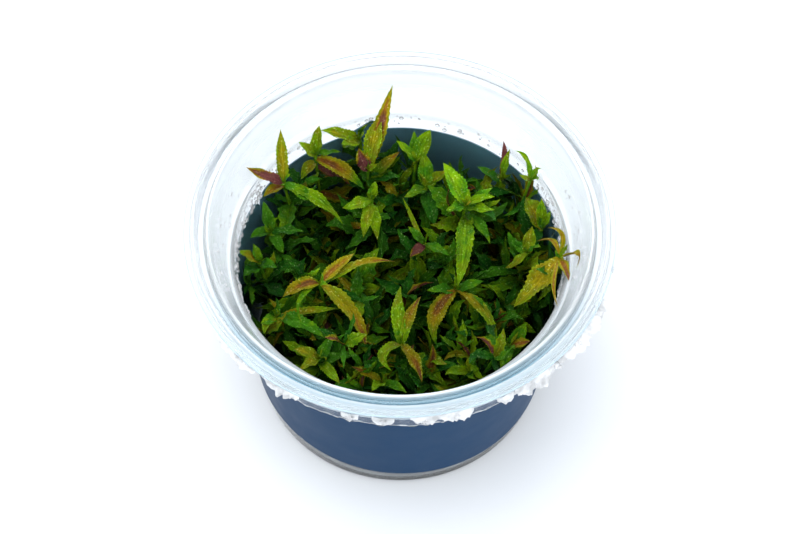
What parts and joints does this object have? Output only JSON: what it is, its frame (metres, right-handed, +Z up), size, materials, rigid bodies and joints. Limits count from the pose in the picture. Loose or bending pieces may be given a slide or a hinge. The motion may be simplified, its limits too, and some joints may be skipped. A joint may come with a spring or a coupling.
{
  "type": "tissue culture plant cup",
  "caption": "Clear round tub with a wrap-round label and torn sealing film, holding tissue culture shoots of a narrow-leaved stem plant rooted in nutrient gel.",
  "frame": {"origin": "centre of the tub's foot, on the surface it stands on", "axes": "+Z up along the tub's axis, -Y towards the viewer of the picture, +X to the viewer's right"},
  "size_m": [0.101, 0.101, 0.0657],
  "materials": {
    "clear_plastic": "clear moulded plastic, glossy, lightly misted inside",
    "navy_label": "printed film label, plain navy, satin",
    "torn_film": "torn white sealing film, matt and ragged",
    "gel": "cloudy nutrient gel, wet",
    "leaf_bright": "fresh yellow-green leaf, waxy",
    "leaf_green": "mid green leaf, waxy",
    "leaf_dark": "deep green leaf, waxy",
    "leaf_olive": "olive leaf, waxy",
    "leaf_yellow": "yellowed leaf, waxy",
    "leaf_brown": "olive-brown leaf, waxy",
    "leaf_plum": "plum leaf underside, waxy"
  },
  "bodies": {
    "root": {"tub": "clear_plastic", "label": "navy_label", "seal_film": "torn_film", "seal_film_end": "torn_film", "shoot_back_tall": "leaf_olive", "shoot_back_left": "leaf_bright", "shoot_left_bright": "leaf_bright", "shoot_left_tall": "leaf_olive", "shoot_left_mid": "leaf_green", "shoot_left_edge": "leaf_bright", "shoot_centre_left": "leaf_yellow", "shoot_back_mid": "leaf_bright", "shoot_centre_back": "leaf_bright", "shoot_star": "leaf_bright", "shoot_right_back": "leaf_dark", "shoot_right_hook": "leaf_bright", "shoot_right_fork": "leaf_olive", "shoot_right_lean": "leaf_yellow", "shoot_right_yellow": "leaf_yellow", "shoot_left_yellow": "leaf_brown", "shoot_centre_low": "leaf_olive", "shoot_front_curl": "leaf_brown", "shoot_front_left": "leaf_green", "shoot_front_low": "leaf_olive", "shoot_front_mid": "leaf_bright", "shoot_front_right": "leaf_green", "shoot_centre": "leaf_plum", "shoot_00": "leaf_green", "shoot_01": "leaf_bright", "shoot_02": "leaf_dark", "shoot_04": "leaf_green", "shoot_07": "leaf_olive", "shoot_08": "leaf_green", "shoot_09": "leaf_bright", "shoot_10": "leaf_dark", "shoot_13": "leaf_bright", "shoot_14": "leaf_dark", "shoot_17": "leaf_bright", "shoot_18": "leaf_dark", "shoot_19": "leaf_olive", "shoot_20": "leaf_green", "shoot_21": "leaf_bright", "shoot_22": "leaf_dark", "shoot_23": "leaf_olive", "shoot_24": "leaf_green", "shoot_25": "leaf_bright", "shoot_26": "leaf_dark", "shoot_28": "leaf_green", "shoot_29": "leaf_bright", "shoot_31": "leaf_olive", "gel": "gel"}
  },
  "joints": []
}
